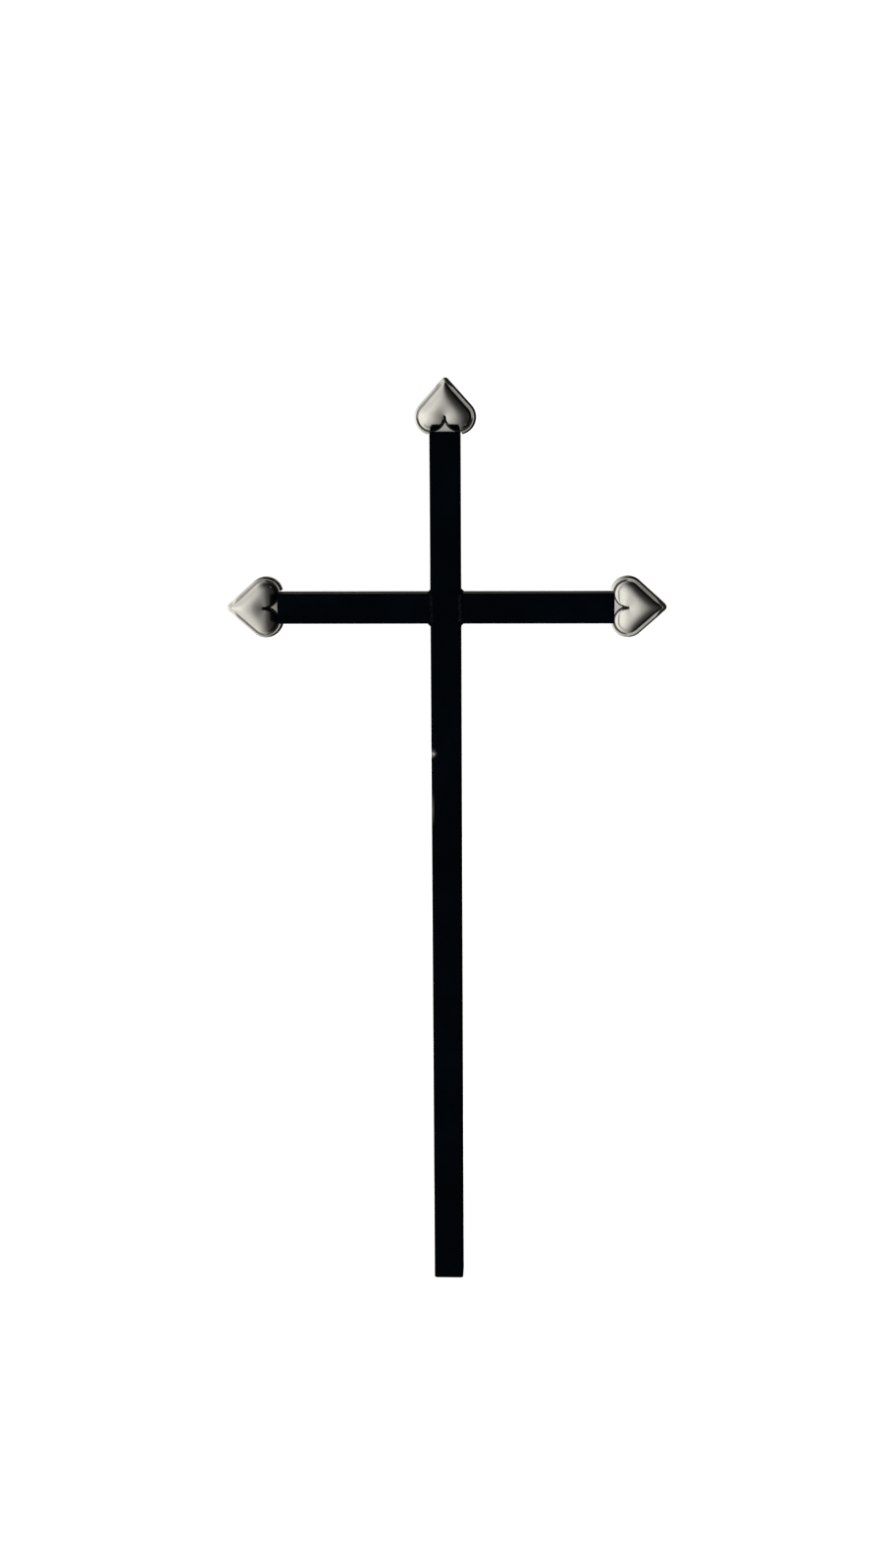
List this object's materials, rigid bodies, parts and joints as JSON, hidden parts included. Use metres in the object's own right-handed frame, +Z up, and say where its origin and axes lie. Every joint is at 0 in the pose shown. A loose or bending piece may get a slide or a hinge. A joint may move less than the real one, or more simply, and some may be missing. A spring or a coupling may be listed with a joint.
{
  "type": "grave cross",
  "caption": "Slim black metal grave cross of welded square tube with polished heart finials on the top and arm ends",
  "frame": {"origin": "centre of the upright's cut foot, where the cross meets the ground", "axes": "+Z up along the upright, arms along X with the right arm on +X, front faces -Y"},
  "size_m": [0.462, 0.0318, 0.98],
  "materials": {
    "black_paint": "semi-gloss black paint on steel tube",
    "polished_metal": "polished, lightly worn"
  },
  "bodies": {
    "root": {"upright": "black_paint", "left_arm": "black_paint", "right_arm": "black_paint", "top_finial": "polished_metal", "left_finial": "polished_metal", "right_finial": "polished_metal"}
  },
  "joints": []
}
